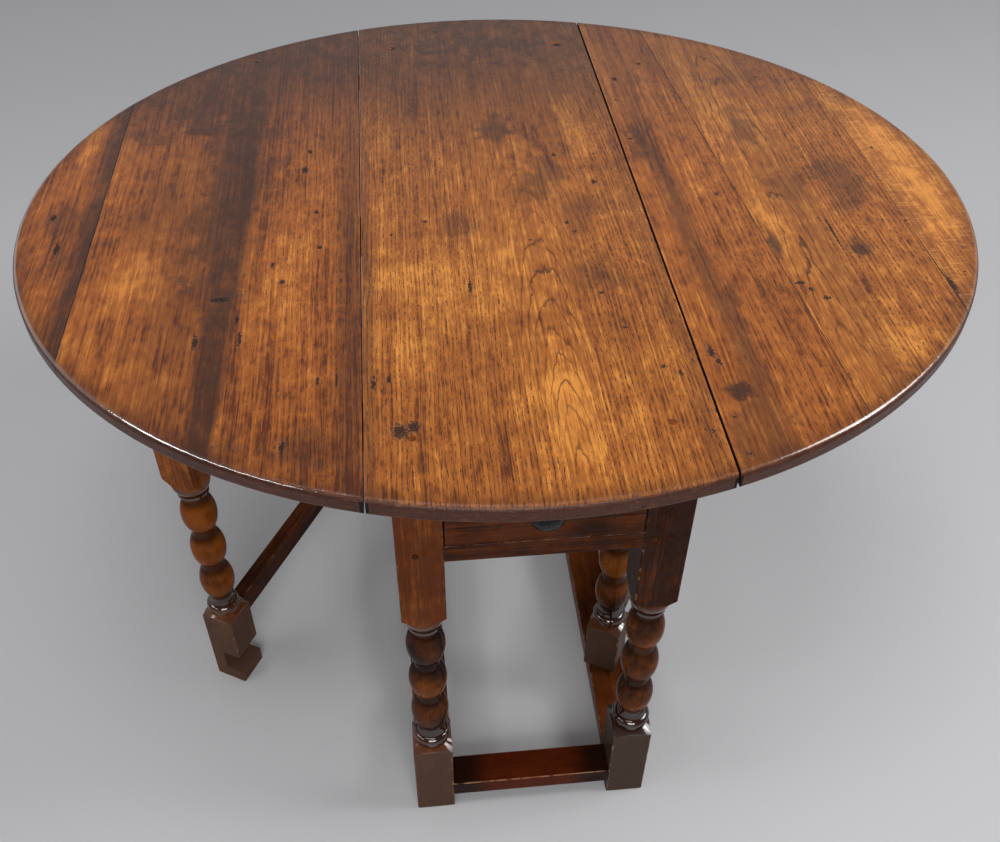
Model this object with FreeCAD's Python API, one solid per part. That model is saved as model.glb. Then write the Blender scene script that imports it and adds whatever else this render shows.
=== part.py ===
import FreeCAD
import Part
import math
import os

# Gateleg dining table in oak, with its leaves raised and its gates swung out.
# Millimetres, floor at z = 0, origin on the floor under the middle of the top,
# +X across the leaves, +Y along the leaf joints, the drawer end faces -Y.

Vector = FreeCAD.Vector

# Top
top_length = 1284.0
top_width = 1168.0
top_thickness = 22.0
table_height = 715.0
top_upper_round = 7.0
top_lower_round = 3.5
centre_board_width = 381.5
left_joint_gap = 1.6
right_joint_gap = 3.0
joint_arris_round = 4.0
outer_board_width = 104.0
tapered_board_width = 133.0
tapered_board_slope = 0.0625

# Fixed frame
leg_joint_inset = 25.0
end_overhang = 64.0
leg_stock = 54.0
frieze_depth = 130.0
side_rail_thickness = 34.0
back_rail_thickness = 25.0
back_rail_setback = 2.0
bearer_height = 27.0
bearer_depth = 45.0
stretcher_floor_gap = 32.0
stretcher_height = 29.0
end_stretcher_depth = 45.0
edge_round = 2.0
foot_chamfer = 1.5

# Turning, bottom to top
foot_block_height = 150.0
head_block_drop = 105.0
foot_shoulder_height = 8.0
foot_fillet_height = 6.0
foot_fillet_allowance = 7.0
ring_allowance = 2.0
ring_half_height = 8.0
ring_cove_height = 9.0
ring_cove_depth = 3.0
neck_diameter = 34.0
ball_diameter = 50.5
ball_height = 61.0
ball_rise = 5.0
ball_pitch = 74.0
ball_end_room = 46.0
rim_diameter = 44.0
rim_height = 5.0
cup_foot_diameter = 40.0
cup_diameter = 55.0
cup_height = 22.0
head_shoulder_height = 12.0

# Tenons and pegs
tenon_thickness = 12.0
tenon_shoulder = 5.0
side_tenon_length = 28.0
end_tenon_length = 37.0
tenon_spacing = 1.0
side_tenon_rise = 10.0
peg_diameter = 8.0
peg_length = 40.0
peg_proud = 0.5
peg_edge_near = 12.0
peg_edge_far = 32.0
top_peg_diameter = 9.0
top_peg_length = 60.0
top_peg_inset = 8.0
top_peg_spacing = 5.0

# Gates
gate_inset = 173.0
gate_open_angle = 28.5
gate_stock = 51.5
gate_keep = 22.0
gate_rail_thickness = 22.0
gate_tenon_thickness = 10.0
gate_tenon_length = 25.0
gate_lower_rail_height = 41.0
gate_lower_rail_drop = 2.0
gate_upper_rail_height = 45.0
gate_upper_rail_drop = 18.0
gate_peg_diameter = 7.0
notch_gap = 6.0
head_notch_gap = 3.0
housing_gap = 1.5
housing_side_gap = 3.0
pintle_diameter = 18.0
pintle_length = 22.0
pintle_clearance = 0.1
pintle_end_gap = 1.0
running_gap = 0.3

# Hinges
hinge_plate_thickness = 3.0
hinge_axis_gap = 1.25
hinge_rail_gap = 9.0
hinge_leaf_wing = 60.0
hinge_wing_flare = 6.0
hinge_knuckle_length = 12.0
hinge_knuckle_gap = 0.3
hinge_barrel_diameter = 8.0
hinge_barrel_drop = 0.4
hinge_wing_gap = 0.6
hinge_pin_diameter = 4.0
hinge_pin_clearance = 0.08
nail_width = 3.5
nail_tip_width = 0.8
nail_head_width = 9.0
nail_head_tip_width = 2.5
nail_head_height = 2.2
nail_bite = 14.0

# Drawer
drawer_length = 420.0
drawer_front_thickness = 22.0
drawer_front_lap = 12.0
drawer_side_gap = 1.5
drawer_lift_gap = 0.6
drawer_top_gap = 1.5
drawer_board_thickness = 13.0
drawer_box_gap = 3.0
drawer_bottom_thickness = 9.0
drawer_bottom_gap = 3.0
drawer_box_drop = 9.5
drawer_back_drop = 10.0
groove_height = 16.0
groove_depth = 7.0
runner_clearance = 0.2
runner_tip_gap = 1.0
runner_extra_length = 28.0
small_nail_width = 2.2
small_nail_length = 26.0
small_nail_head_width = 4.5
small_nail_head_height = 1.2
small_nail_shares = (0.2, 0.5, 0.8)
knob_diameter = 36.0
knob_length = 25.0
knob_rim_thickness = 4.0
knob_rim_bulge = 1.0
knob_dome_height = 8.0
knob_neck_diameter = 14.0
knob_foot_diameter = 19.0
knob_foot_height = 4.0
knob_shank_diameter = 10.0
knob_shank_tail = 6.0

# Places worked out from the sizes above
underside = table_height - top_thickness
joint_x = centre_board_width / 2 + hinge_axis_gap
leg_x = joint_x - leg_joint_inset - leg_stock / 2
leg_y = top_width / 2 - end_overhang - leg_stock / 2
leg_inner_x = leg_x - leg_stock / 2
leg_inner_y = leg_y - leg_stock / 2
leg_outer_x = leg_x + leg_stock / 2
leg_outer_y = leg_y + leg_stock / 2
rail_bottom = underside - frieze_depth
head_block_start = rail_bottom - head_block_drop
bearer_top = rail_bottom + bearer_height
stretcher_top = stretcher_floor_gap + stretcher_height
side_tenon_bottom = bearer_top + side_tenon_rise
side_tenon_top = table_height - top_peg_length - top_peg_spacing
pivot_y = leg_y - gate_inset
gate_half = gate_stock / 2
housing_x = leg_x + gate_half - gate_keep - housing_gap
hinge_y = (pivot_y + gate_half + leg_inner_y) / 2
hinge_z = underside - hinge_barrel_diameter / 2 - hinge_barrel_drop
hinge_fixed_wing = joint_x - leg_x - side_rail_thickness / 2 - hinge_rail_gap
drawer_half = leg_inner_x - drawer_box_gap
drawer_front_back = -leg_outer_y + drawer_front_thickness
drawer_lap_y = drawer_front_back - drawer_front_lap
drawer_back_y = drawer_lap_y + drawer_length
drawer_floor = bearer_top + drawer_bottom_gap + drawer_bottom_thickness
drawer_box_top = underside - drawer_top_gap - drawer_box_drop
groove_middle = (drawer_floor + drawer_box_top) / 2
hinge_half_length = 1.5 * hinge_knuckle_length

# How far cutting shapes pass the faces they cut, and how far an edge may lean and still count as straight
beyond = 5.0
edge_lean = 0.1


def box(x_range, y_range, z_range):
    """Block between pairs of coordinates given in either order."""
    low = [min(pair) for pair in (x_range, y_range, z_range)]
    high = [max(pair) for pair in (x_range, y_range, z_range)]
    return Part.makeBox(*(b - a for a, b in zip(low, high)), Vector(*low))


def bar(x_range, y_range, z_range, along):
    """Block whose long arrises, those that run along one direction, are softened."""
    block = box(x_range, y_range, z_range)
    arrises = [e for e in block.Edges if e.tangentAt(e.FirstParameter).cross(along).Length < edge_lean]
    return block.makeFillet(edge_round, arrises)


def rod(diameter, start, end):
    """Round rod between two points."""
    run = end - start
    return Part.makeCylinder(diameter / 2, run.Length, start, run)


def about(middle, width):
    """Pair of coordinates at equal distances from a middle."""
    return middle - width / 2, middle + width / 2


def prism(points, height):
    """Upright prism on a closed outline of points."""
    return Part.Face(Part.makePolygon(points + points[:1])).extrude(Vector(0, 0, height))


def taper(low_width, low, high_width, high):
    """Square upright taper between two heights, on the upright axis."""
    wires = []
    for width, height in ((low_width, low), (high_width, high)):
        half = width / 2
        sides = ((-half, -half), (half, -half), (half, half), (-half, half))
        corners = [Vector(x, y, height) for x, y in sides]
        wires.append(Part.makePolygon(corners + corners[:1]))
    return Part.makeLoft(wires, True, True)


def half_turn(shape):
    """Copy of a shape turned half a turn about the table's upright middle line."""
    turned = shape.copy()
    turned.rotate(Vector(0, 0, 0), Vector(0, 0, 1), 180)
    return turned


def mirrored(shape):
    """Copy of a shape on the other side of the drawer's middle plane."""
    return shape.mirror(Vector(0, 0, 0), Vector(1, 0, 0))


def without(shape, tools):
    """Shape with every tool cut out of it."""
    return shape.cut(Part.makeCompound(tools))


def upright_arc(start, end):
    """Arc of a profile, in radius and height, that ends running straight up or down."""
    radial = start[0] - end[0]
    rise = start[1] - end[1]
    centre = (radial * radial + rise * rise) / (2 * radial)
    middle = Vector(radial - 2 * centre, 0, rise)
    middle.multiply(abs(centre) / middle.Length)
    return Part.Arc(
        Vector(start[0], 0, start[1]),
        Vector(end[0] + centre, 0, end[1]) + middle,
        Vector(end[0], 0, end[1]),
    ).toShape()


def profile_arc(start, middle, end):
    """Arc of a profile through three points given as radius and height."""
    return Part.Arc(*(Vector(radius, 0, height) for radius, height in (start, middle, end))).toShape()


def profile_line(start, end):
    """Straight stretch of a profile between two points given as radius and height."""
    return Part.makeLine(Vector(start[0], 0, start[1]), Vector(end[0], 0, end[1]))


def revolved(edges):
    """Solid of revolution about the upright axis from a profile that starts and ends on it."""
    first = edges[0].firstVertex().Point
    last = edges[-1].lastVertex().Point
    outline = Part.Wire(edges + [Part.makeLine(last, first)])
    return Part.Face(outline).revolve(Vector(0, 0, 0), Vector(0, 0, 1), 360)


def dome_arc(radius, base, rise):
    """Profile of a dome from its rim, at a radius and a base height, to its middle."""
    sphere = (radius * radius + rise * rise) / (2 * rise)
    half_angle = math.asin(radius / abs(sphere)) / 2
    middle = (abs(sphere) * math.sin(half_angle), base + rise - sphere * (1 - math.cos(half_angle)))
    return profile_arc((radius, base), middle, (0, base + rise))


def ball_edges(radius, neck, middle, neck_end):
    """Profile of one oval ball and of the straight neck above it."""
    pole = ball_height / 2 / math.sqrt(1 - (neck / radius) ** 2)
    centre = Vector(0, 0, middle)
    oval = Part.Ellipse(Vector(0, 0, middle + pole), Vector(radius, 0, middle), centre)
    start = math.acos(ball_height / 2 / pole)
    return [
        Part.ArcOfEllipse(oval, start, math.pi - start).toShape(),
        profile_line((neck, middle + ball_height / 2), (neck, neck_end)),
    ]


def turned_envelope(stock, bottom, top):
    """Round form that a square member is turned to between its foot block and its head block."""
    clear = stock
    corner = stock / math.sqrt(2)
    neck = neck_diameter / 2
    fillet = stock / 2 - foot_fillet_allowance / 2
    shoulder_top = foot_block_height + foot_shoulder_height
    shoulder_fall = (clear - corner) * foot_shoulder_height / (corner - fillet)
    ring = stock / 2 - ring_allowance / 2
    ring_core = ring - ring_half_height
    ring_middle = shoulder_top + foot_fillet_height + ring_half_height
    ring_low = ring_middle - math.sqrt(ring_half_height ** 2 - (fillet - ring_core) ** 2)
    ring_high = ring_middle + math.sqrt(ring_half_height ** 2 - (neck + ring_cove_depth - ring_core) ** 2)
    cup = cup_diameter / 2
    cup_top = head_block_start - head_shoulder_height
    cup_foot = cup_top - cup_height
    rim_foot = cup_foot - rim_height
    head_rise = (clear - corner) * head_shoulder_height / (corner - cup)
    ball = ball_diameter / 2
    ball_count = 1 + int((cup_foot - ring_middle - 2 * ball_end_room) / ball_pitch)
    first_ball = (ring_middle + cup_foot - ball_pitch * (ball_count - 1)) / 2 + ball_rise
    ball_middles = [first_ball + ball_pitch * number for number in range(ball_count)]
    ball_bottoms = [middle - ball_height / 2 for middle in ball_middles]
    cove_end = (neck, ring_high + ring_cove_height)

    edges = [
        profile_line((0, bottom - beyond), (clear, bottom - beyond)),
        profile_line((clear, bottom - beyond), (clear, foot_block_height - shoulder_fall)),
        profile_line((clear, foot_block_height - shoulder_fall), (fillet, shoulder_top)),
        profile_line((fillet, shoulder_top), (fillet, ring_low)),
        profile_arc((fillet, ring_low), (ring, ring_middle), (neck + ring_cove_depth, ring_high)),
        upright_arc((neck + ring_cove_depth, ring_high), cove_end),
        profile_line(cove_end, (neck, ball_bottoms[0])),
    ]
    for middle, neck_end in zip(ball_middles, ball_bottoms[1:] + [rim_foot]):
        edges += ball_edges(ball, neck, middle, neck_end)
    edges += [
        profile_line((neck, rim_foot), (rim_diameter / 2, rim_foot)),
        profile_line((rim_diameter / 2, rim_foot), (rim_diameter / 2, cup_foot)),
        profile_line((rim_diameter / 2, cup_foot), (cup_foot_diameter / 2, cup_foot)),
        upright_arc((cup_foot_diameter / 2, cup_foot), (cup, cup_top)),
        profile_line((cup, cup_top), (clear, head_block_start + head_rise)),
        profile_line((clear, head_block_start + head_rise), (clear, top + beyond)),
        profile_line((clear, top + beyond), (0, top + beyond)),
    ]
    return revolved(edges)


def turned_member(stock, bottom, top):
    """Square member with softened arrises, turned between its two blocks, on the upright axis."""
    half = stock / 2
    square = bar((-half, half), (-half, half), (bottom, top), Vector(0, 0, 1))
    if bottom == 0:
        foot_edges = [e for e in square.Edges if e.BoundBox.ZMax < foot_chamfer]
        square = square.makeChamfer(foot_chamfer, foot_edges)
    return square.common(turned_envelope(stock, bottom, top))


def placed(shape, x, y):
    """Shape moved from the upright axis to a place on the floor plan."""
    shape.translate(Vector(x, y, 0))
    return shape


def side_rail_left():
    """Side rail with a tenon at each end, the closed gate leg's housing and the pintle hole."""
    heights = (rail_bottom, underside)
    rail = bar(about(-leg_x, side_rail_thickness), (-leg_inner_y, leg_inner_y), heights, Vector(0, 1, 0))
    tenons = box(
        about(-leg_x, tenon_thickness),
        (-leg_inner_y - side_tenon_length, leg_inner_y + side_tenon_length),
        (side_tenon_bottom, side_tenon_top),
    )
    housing = box((-housing_x, -leg_outer_x - beyond), gate_housing_span(), (0, table_height))
    hole = pintle_hole(rail_bottom, rail_bottom + pintle_length + pintle_end_gap)
    return without(rail.fuse(tenons), [housing, hole])


def side_stretcher_left():
    """Side stretcher, as wide as the legs, with tenons, housing and pintle hole."""
    heights = (stretcher_floor_gap, stretcher_top)
    rail = bar(about(-leg_x, leg_stock), (-leg_inner_y, leg_inner_y), heights, Vector(0, 1, 0))
    tenons = box(
        about(-leg_x, tenon_thickness),
        (-leg_inner_y - side_tenon_length, leg_inner_y + side_tenon_length),
        (stretcher_floor_gap + tenon_shoulder, stretcher_top - tenon_shoulder),
    )
    housing = box((-housing_x, -leg_outer_x - beyond), gate_housing_span(), (0, table_height))
    hole = pintle_hole(stretcher_top - pintle_length - pintle_end_gap, stretcher_top)
    return without(rail.fuse(tenons), [housing, hole])


def gate_housing_span():
    """Stretch of the left side that the closed gate leg crosses."""
    return about(-pivot_y, gate_stock + 2 * housing_side_gap)


def pintle_hole(bottom, top):
    """Round hole for one pintle of the left gate's post."""
    diameter = pintle_diameter + 2 * pintle_clearance
    return rod(diameter, Vector(-leg_x, pivot_y, bottom), Vector(-leg_x, pivot_y, top))


def end_rail(y_range, z_range, tenon_reach, tenon_z_range):
    """Rail across one end with a tenon into each leg."""
    rail = bar((-leg_inner_x, leg_inner_x), y_range, z_range, Vector(1, 0, 0))
    reach = leg_inner_x + tenon_reach
    tenons = box((-reach, reach), about(sum(y_range) / 2, tenon_thickness), tenon_z_range)
    return rail.fuse(tenons)


def end_stretcher_front():
    """Front stretcher, flush with the legs' front faces."""
    reach = leg_stock / 2 - tenon_thickness / 2 - tenon_spacing
    heights = (stretcher_floor_gap, stretcher_top)
    tenon_heights = (stretcher_floor_gap + tenon_shoulder, stretcher_top - tenon_shoulder)
    return end_rail((-leg_outer_y, -leg_outer_y + end_stretcher_depth), heights, reach, tenon_heights)


def drawer_bearer_rail():
    """Rail under the drawer, flush with the legs' front faces."""
    tenon_heights = (rail_bottom + tenon_shoulder, bearer_top - tenon_shoulder)
    depths = (-leg_outer_y, -leg_outer_y + bearer_depth)
    return end_rail(depths, (rail_bottom, bearer_top), end_tenon_length, tenon_heights)


def back_end_rail():
    """Deep rail across the back end."""
    outer = leg_outer_y - back_rail_setback
    depths = (outer - back_rail_thickness, outer)
    return end_rail(depths, (rail_bottom, underside), end_tenon_length, (side_tenon_bottom, side_tenon_top))


def frame_pegs():
    """Pegs through the tenons of the bearer, the back rail and the side rails."""
    bearer_z = (rail_bottom + bearer_top) / 2
    rail_z = (side_tenon_bottom + side_tenon_top) / 2
    front = -leg_outer_y - peg_proud
    back = leg_outer_y + peg_proud
    pegs = []
    for x in (-leg_inner_x - peg_edge_far, leg_inner_x + peg_edge_near, leg_inner_x + peg_edge_far):
        pegs.append(rod(peg_diameter, Vector(x, front, bearer_z), Vector(x, front + peg_length, bearer_z)))
    for side in (-1, 1):
        x = side * (leg_inner_x + peg_edge_near)
        pegs.append(rod(peg_diameter, Vector(x, back, rail_z), Vector(x, back - peg_length, rail_z)))
        outer = side * (leg_outer_x + peg_proud)
        for end in (-1, 1):
            y = end * (leg_inner_y + peg_edge_near)
            start = Vector(outer, y, rail_z)
            pegs.append(rod(peg_diameter, start, start - Vector(side * peg_length, 0, 0)))
    return pegs


def top_pegs():
    """Pegs that hold the centre board down on the leg heads."""
    pegs = []
    for x in (-leg_x, leg_x):
        for y in (-leg_inner_y - top_peg_inset, leg_inner_y + top_peg_inset):
            bottom = Vector(x, y, table_height - top_peg_length)
            pegs.append(rod(top_peg_diameter, bottom, Vector(x, y, table_height)))
    return pegs


def oval_plate():
    """Whole oval top with its rounded edge, before it is cut into boards."""
    short, long = sorted((top_length / 2, top_width / 2))
    rim = Part.Ellipse(Vector(0, 0, underside), long, short).toShape()
    if top_width > top_length:
        rim.rotate(Vector(0, 0, 0), Vector(0, 0, 1), 90)
    plate = Part.Face(Part.Wire(rim)).extrude(Vector(0, 0, top_thickness))
    upper = [e for e in plate.Edges if e.BoundBox.ZMin > underside + top_thickness / 2]
    plate = plate.makeFillet(top_upper_round, upper)
    lower = [e for e in plate.Edges if e.BoundBox.ZMax < underside + top_thickness / 4]
    return plate.makeFillet(top_lower_round, lower)


def joint_strip(x_low, x_high):
    """Strip of the top between two straight joints, with both lower arrises rounded."""
    r = joint_arris_round
    bend = r * (1 - math.sqrt(0.5))
    top = table_height + beyond
    points = [Vector(x, 0, z) for x, z in (
        (x_low, top), (x_low, underside + r), (x_low + r, underside),
        (x_high - r, underside), (x_high, underside + r), (x_high, top),
    )]
    left_bend = Vector(x_low + bend, 0, underside + bend)
    right_bend = Vector(x_high - bend, 0, underside + bend)
    outline = Part.Wire([
        Part.makeLine(points[0], points[1]),
        Part.Arc(points[1], left_bend, points[2]).toShape(),
        Part.makeLine(points[2], points[3]),
        Part.Arc(points[3], right_bend, points[4]).toShape(),
        Part.makeLine(points[4], points[5]),
        Part.makeLine(points[5], points[0]),
    ])
    strip = Part.Face(outline).extrude(Vector(0, 2 * top_width, 0))
    strip.translate(Vector(0, -top_width, 0))
    return strip


def beyond_line(x_middle, slope):
    """Everything of the top on the +X side of a joint line that may slant."""
    points = [
        Vector(x_middle + slope * top_width, -top_width, 0),
        Vector(2 * top_length, -top_width, 0),
        Vector(2 * top_length, top_width, 0),
        Vector(x_middle - slope * top_width, top_width, 0),
    ]
    return prism(points, 2 * table_height)


def split_boards(leaf, joint_lines):
    """Boards of a leaf, cut apart along joint lines listed from -X to +X."""
    boards = []
    for x_middle, slope in joint_lines:
        outside = beyond_line(x_middle, slope)
        boards.append(leaf.cut(outside))
        leaf = leaf.common(outside)
    return boards + [leaf]


def hinge_wing(reach, spans):
    """Flat flared wing beside its knuckles, on a hinge whose pin runs along Y through the origin."""
    start = hinge_barrel_diameter / 2 + hinge_wing_gap
    plate_low = underside - hinge_plate_thickness - hinge_z
    half = hinge_half_length
    wide = half + hinge_wing_flare
    outline = [(start, -half), (reach, -wide), (reach, wide), (start, half)]
    wing = prism([Vector(x, y, plate_low) for x, y in outline], hinge_plate_thickness)
    for low, high in spans:
        barrel = rod(hinge_barrel_diameter, Vector(0, low, 0), Vector(0, high, 0))
        strap = box((0, start), (low, high), (plate_low, plate_low + hinge_plate_thickness))
        wing = wing.fuse(barrel).fuse(strap)
    return wing


def knuckle_spans(middle_one):
    """Stretches of the barrel that belong to the middle knuckle or to the two outer ones."""
    half = hinge_knuckle_length / 2
    if middle_one:
        return [(-half + hinge_knuckle_gap, half - hinge_knuckle_gap)]
    return [(-hinge_half_length, -half), (half, hinge_half_length)]


def pin_bore(clearance):
    """Pin along Y through the origin, with a radial clearance."""
    end = Vector(0, hinge_half_length, 0)
    return rod(hinge_pin_diameter + 2 * clearance, -end, end)


def nail(x, y, plate_low):
    """Forged nail driven up through a hinge wing: a square tapered shank and a faceted head below."""
    shank = taper(nail_width, 0, nail_tip_width, hinge_plate_thickness + nail_bite)
    head = taper(nail_head_tip_width, -nail_head_height, nail_head_width, 0)
    shape = shank.fuse(head)
    shape.translate(Vector(x, y, plate_low))
    return shape


def wing_nails(reach, rows):
    """Nails of one wing, in rows across it, on a hinge at the origin."""
    plate_low = underside - hinge_plate_thickness - hinge_z
    start = hinge_barrel_diameter / 2 + hinge_wing_gap
    nails = []
    for row in range(rows):
        x = start + (reach - start) * (row + 0.5) / rows
        for y in (-hinge_knuckle_length, hinge_knuckle_length):
            nails.append(nail(x, y, plate_low))
    return nails


def right_hinge_set(make_pieces):
    """Pieces of both hinges of the right leaf, from pieces made on a hinge at the origin."""
    pieces = []
    for y in (-hinge_y, hinge_y):
        for piece in make_pieces():
            piece.translate(Vector(joint_x, y, hinge_z))
            pieces.append(piece)
    return pieces


def leaf_wings():
    """Wing that turns with the leaf."""
    return [hinge_wing(hinge_leaf_wing, knuckle_spans(True)).cut(pin_bore(hinge_pin_clearance))]


def fixed_wings():
    """Wing that stays on the centre board."""
    wing = hinge_wing(hinge_fixed_wing, knuckle_spans(False)).cut(pin_bore(0))
    return [mirrored(wing)]


def hinge_pins():
    """Pin of one hinge."""
    return [pin_bore(0)]


def fixed_nails():
    """Nails of the fixed wing."""
    return [mirrored(piece) for piece in wing_nails(hinge_fixed_wing, 1)]


def leaf_nails():
    """Nails of the leaf wing."""
    return wing_nails(hinge_leaf_wing, 2)


def gate_rail(z_range):
    """Rail of the closed left gate with a tenon into the post and one into the leg."""
    end = pivot_y - gate_half
    rail = bar(about(-leg_x, gate_rail_thickness), (-end, end), z_range, Vector(0, 1, 0))
    tenon_end = end + gate_tenon_length
    tenon_heights = (z_range[0] + tenon_shoulder, z_range[1] - tenon_shoulder)
    tenons = box(about(-leg_x, gate_tenon_thickness), (-tenon_end, tenon_end), tenon_heights)
    return rail.fuse(tenons)


def gate_pegs(heights):
    """Pegs through the tenons of the closed left gate."""
    pegs = []
    outer = -leg_x - gate_half - peg_proud
    for y in (-pivot_y + gate_half - peg_edge_near, pivot_y - gate_half + peg_edge_near):
        for z in heights:
            start = Vector(outer, y, z)
            pegs.append(rod(gate_peg_diameter, start, start + Vector(gate_stock - peg_edge_near, 0, 0)))
    return pegs


def gate_post():
    """Pivot post of the closed left gate, with a pintle at each end."""
    bottom = stretcher_top + running_gap
    top = rail_bottom - running_gap
    post = turned_member(gate_stock, bottom, top)
    for start, end in ((bottom, bottom - pintle_length), (top, top + pintle_length)):
        post = post.fuse(rod(pintle_diameter, Vector(0, 0, start), Vector(0, 0, end)))
    return placed(post, -leg_x, pivot_y)


def gate_leg():
    """Leg of the closed left gate, notched over the stretcher and the side rail."""
    top = underside - running_gap
    leg = placed(turned_member(gate_stock, 0, top), -leg_x, -pivot_y)
    notch_x = (-leg_x - gate_half + gate_keep, -leg_x + gate_stock)
    notch_y = about(-pivot_y, 2 * gate_stock)
    foot_notch = box(notch_x, notch_y, (stretcher_floor_gap - notch_gap, stretcher_top + notch_gap))
    head_notch = box(notch_x, notch_y, (rail_bottom - head_notch_gap, table_height))
    return without(leg, [foot_notch, head_notch])


def closed_left_gate():
    """Pieces of the left gate, folded against the frame, by name."""
    lower_top = foot_block_height - gate_lower_rail_drop
    upper_top = rail_bottom - gate_upper_rail_drop
    lower = (lower_top - gate_lower_rail_height, lower_top)
    upper = (upper_top - gate_upper_rail_height, upper_top)
    pegs = gate_pegs([sum(lower) / 2, sum(upper) / 2])
    rails = {"gate_lower_rail": gate_rail(lower), "gate_upper_rail": gate_rail(upper)}
    pieces = {name: without(rail, pegs) for name, rail in rails.items()}
    for name, member in (("gate_post", gate_post()), ("gate_leg", gate_leg())):
        pieces[name] = without(member, list(rails.values()) + pegs)
    pieces["gate_pegs"] = Part.makeCompound(pegs)
    return pieces


def swung_out(shape):
    """Closed left gate piece turned about its pintles to where it carries the leaf."""
    swung = shape.copy()
    swung.rotate(Vector(-leg_x, pivot_y, 0), Vector(0, 0, 1), -gate_open_angle)
    return swung


def drawer_runner_right():
    """Runner on the inner face of the right side rail, which the drawer side's groove rides on."""
    inner = leg_x - side_rail_thickness / 2
    tip = drawer_half - groove_depth + runner_tip_gap
    heights = about(groove_middle, groove_height - 2 * runner_clearance)
    return box((tip, inner), (-leg_inner_y, drawer_back_y + runner_extra_length), heights)


def small_nail(start, direction):
    """Small square nail with a flat head let in flush at its start point."""
    shank_side = about(0, small_nail_width)
    head_side = about(0, small_nail_head_width)
    shank = box(shank_side, shank_side, (0, small_nail_length))
    shape = shank.fuse(box(head_side, head_side, (0, small_nail_head_height)))
    shape.Placement = FreeCAD.Placement(start, FreeCAD.Rotation(Vector(0, 0, 1), direction))
    return shape


def runner_nails_right():
    """Nails through the right runner into the side rail."""
    tip = drawer_half - groove_depth + runner_tip_gap
    first = -leg_inner_y
    last = drawer_back_y + runner_extra_length
    places = [first + (last - first) * share for share in small_nail_shares]
    return [small_nail(Vector(tip, y, groove_middle), Vector(1, 0, 0)) for y in places]


def drawer_front():
    """Drawer front, rebated behind for the sides and the bottom."""
    half = leg_inner_x - drawer_side_gap
    heights = (bearer_top + drawer_lift_gap, underside - drawer_top_gap)
    board = bar((-half, half), (-leg_outer_y, drawer_front_back), heights, Vector(1, 0, 0))
    rebate_y = (drawer_lap_y, drawer_front_back + beyond)
    inside = drawer_half - drawer_board_thickness
    rebates = [box((side * inside, side * (half + beyond)), rebate_y, (0, table_height)) for side in (-1, 1)]
    rebates.append(box((-half - beyond, half + beyond), rebate_y, (0, drawer_floor)))
    return without(board, rebates)


def drawer_side_right():
    """Drawer side with the groove for its runner."""
    inside = drawer_half - drawer_board_thickness
    side = box((inside, drawer_half), (drawer_lap_y, drawer_back_y), (drawer_floor, drawer_box_top))
    groove = box(
        (drawer_half - groove_depth, drawer_half + beyond),
        (drawer_front_back, drawer_back_y + beyond),
        about(groove_middle, groove_height),
    )
    return side.cut(groove)


def drawer_back():
    """Drawer back, between the sides and a little lower than they are."""
    inside = drawer_half - drawer_board_thickness
    depths = (drawer_back_y - drawer_board_thickness, drawer_back_y)
    return box((-inside, inside), depths, (drawer_floor, drawer_box_top - drawer_back_drop))


def drawer_bottom():
    """Drawer bottom, nailed up under the sides and the back."""
    heights = (drawer_floor - drawer_bottom_thickness, drawer_floor)
    return box((-drawer_half, drawer_half), (drawer_lap_y, drawer_back_y), heights)


def drawer_nails():
    """Nails through the sides into the front and the back, and up through the bottom into the sides."""
    nails = []
    front_y = drawer_front_back - drawer_front_lap / 2
    back_y = drawer_back_y - drawer_board_thickness / 2
    low_z = (drawer_floor + groove_middle - groove_height / 2) / 2
    high_z = (drawer_box_top - drawer_back_drop + groove_middle + groove_height / 2) / 2
    side_x = drawer_half - drawer_board_thickness / 2
    bottom = drawer_floor - drawer_bottom_thickness
    for side in (-1, 1):
        for y in (front_y, back_y):
            for z in (low_z, high_z):
                nails.append(small_nail(Vector(side * drawer_half, y, z), Vector(-side, 0, 0)))
        for share in small_nail_shares:
            y = front_y + (back_y - front_y) * share
            nails.append(small_nail(Vector(side * side_x, y, bottom), Vector(0, 0, 1)))
    return nails


def drawer_knob():
    """Mushroom knob with a domed face, whose shank passes through the drawer front."""
    tail = -drawer_front_thickness - knob_shank_tail
    shank = knob_shank_diameter / 2
    neck = knob_neck_diameter / 2
    rim = knob_diameter / 2
    rim_back = knob_length - knob_dome_height - knob_rim_thickness
    rim_front = rim_back + knob_rim_thickness
    knob = revolved([
        profile_line((0, tail), (shank, tail)),
        profile_line((shank, tail), (shank, 0)),
        profile_line((shank, 0), (knob_foot_diameter / 2, 0)),
        profile_line((knob_foot_diameter / 2, 0), (neck, knob_foot_height)),
        upright_arc((rim, rim_back), (neck, knob_foot_height)),
        profile_arc((rim, rim_back), (rim + knob_rim_bulge, (rim_back + rim_front) / 2), (rim, rim_front)),
        dome_arc(rim, rim_front, knob_dome_height),
    ])
    knob.rotate(Vector(0, 0, 0), Vector(1, 0, 0), 90)
    knob.translate(Vector(0, -leg_outer_y, (bearer_top + underside) / 2))
    return knob


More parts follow.
